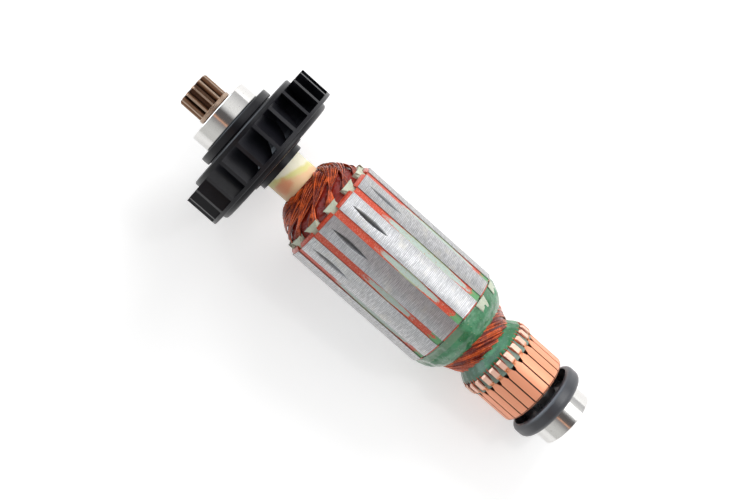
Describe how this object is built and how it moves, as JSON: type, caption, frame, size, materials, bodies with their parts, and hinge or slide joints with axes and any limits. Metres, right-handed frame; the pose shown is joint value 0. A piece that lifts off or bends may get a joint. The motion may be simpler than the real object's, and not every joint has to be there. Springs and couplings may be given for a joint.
{
  "type": "motor armature",
  "caption": "Wound armature of a universal motor with pinion, cooling fan, laminated core, commutator and two ball bearings on one shaft.",
  "frame": {"origin": "centre of the rear bearing's outer end face, on the shaft axis, where the armature stands", "axes": "+Z along the shaft towards the pinion; the slot mouths, commutator bars and fan blades are turned about Z as the picture shows them from -Y"},
  "size_m": [0.052, 0.052, 0.1531],
  "materials": {
    "shaft_steel": "ground",
    "oxidised_steel": "heat-tinted brown",
    "black_nylon": "satin, glass filled",
    "black_plastic": "satin",
    "cream_plastic": "satin, stained by resin",
    "laminations": "turned, fine rings",
    "red_epoxy": "glossy, speckled",
    "liner_paper": "varnished paper",
    "wedge_strip": "pale blue-green strip",
    "enamelled_copper": "enamelled copper wire, varnished",
    "green_resin": "glossy, poured",
    "commutator_resin": "moulded",
    "bearing_steel": "ground",
    "ball_steel": "polished",
    "cage_polymer": "plain",
    "shield_steel": "pressed sheet",
    "commutator_copper": "turned copper"
  },
  "bodies": {
    "rotor": {"shaft": "shaft_steel", "pinion": "oxidised_steel", "fan": "black_nylon", "dust_ring": "black_plastic", "insulating_sleeve": "cream_plastic", "lamination_core": "laminations", "core_coating": "red_epoxy", "slot_liners": "liner_paper", "slot_wedges": "wedge_strip", "winding": "enamelled_copper", "commutator_leads": "enamelled_copper", "resin_collar": "green_resin", "resin_neck": "green_resin", "commutator_moulding": "commutator_resin", "guard_ring": "black_plastic", "front_inner_ring": "bearing_steel", "rear_inner_ring": "bearing_steel", "commutator_bar_01": "commutator_copper", "commutator_bar_02": "commutator_copper", "commutator_bar_03": "commutator_copper", "commutator_bar_04": "commutator_copper", "commutator_bar_05": "commutator_copper", "commutator_bar_06": "commutator_copper", "commutator_bar_07": "commutator_copper", "commutator_bar_08": "commutator_copper", "commutator_bar_09": "commutator_copper", "commutator_bar_10": "commutator_copper", "commutator_bar_11": "commutator_copper", "commutator_bar_12": "commutator_copper", "commutator_bar_13": "commutator_copper", "commutator_bar_14": "commutator_copper", "commutator_bar_15": "commutator_copper", "commutator_bar_16": "commutator_copper", "commutator_bar_17": "commutator_copper", "commutator_bar_18": "commutator_copper", "commutator_bar_19": "commutator_copper", "commutator_bar_20": "commutator_copper", "commutator_bar_21": "commutator_copper", "commutator_bar_22": "commutator_copper", "commutator_bar_23": "commutator_copper", "commutator_bar_24": "commutator_copper"},
    "front_outer": {"front_outer_ring": "bearing_steel", "front_shield_upper": "shield_steel", "front_shield_lower": "shield_steel"},
    "front_ball_set": {"front_balls": "ball_steel", "front_cage": "cage_polymer"},
    "rear_outer": {"rear_outer_ring": "bearing_steel", "rear_shield_upper": "shield_steel", "rear_shield_lower": "shield_steel"},
    "rear_ball_set": {"rear_balls": "ball_steel", "rear_cage": "cage_polymer"}
  },
  "joints": [
    {"name": "front_bearing_spin", "type": "hinge", "parent": "rotor", "child": "front_outer", "pos_m": [0, 0, 0.1403], "axis": [0, 0, 1], "continuous": true},
    {"name": "front_balls_orbit", "type": "hinge", "parent": "rotor", "child": "front_ball_set", "pos_m": [0, 0, 0.1403], "axis": [0, 0, 1], "continuous": true},
    {"name": "rear_bearing_spin", "type": "hinge", "parent": "rotor", "child": "rear_outer", "pos_m": [0, 0, 0.003], "axis": [0, 0, 1], "continuous": true},
    {"name": "rear_balls_orbit", "type": "hinge", "parent": "rotor", "child": "rear_ball_set", "pos_m": [0, 0, 0.003], "axis": [0, 0, 1], "continuous": true}
  ],
  "couplings": [
    {"joint": "front_balls_orbit", "follows": "front_bearing_spin", "ratio": 0.6},
    {"joint": "rear_balls_orbit", "follows": "rear_bearing_spin", "ratio": 0.6346}
  ]
}
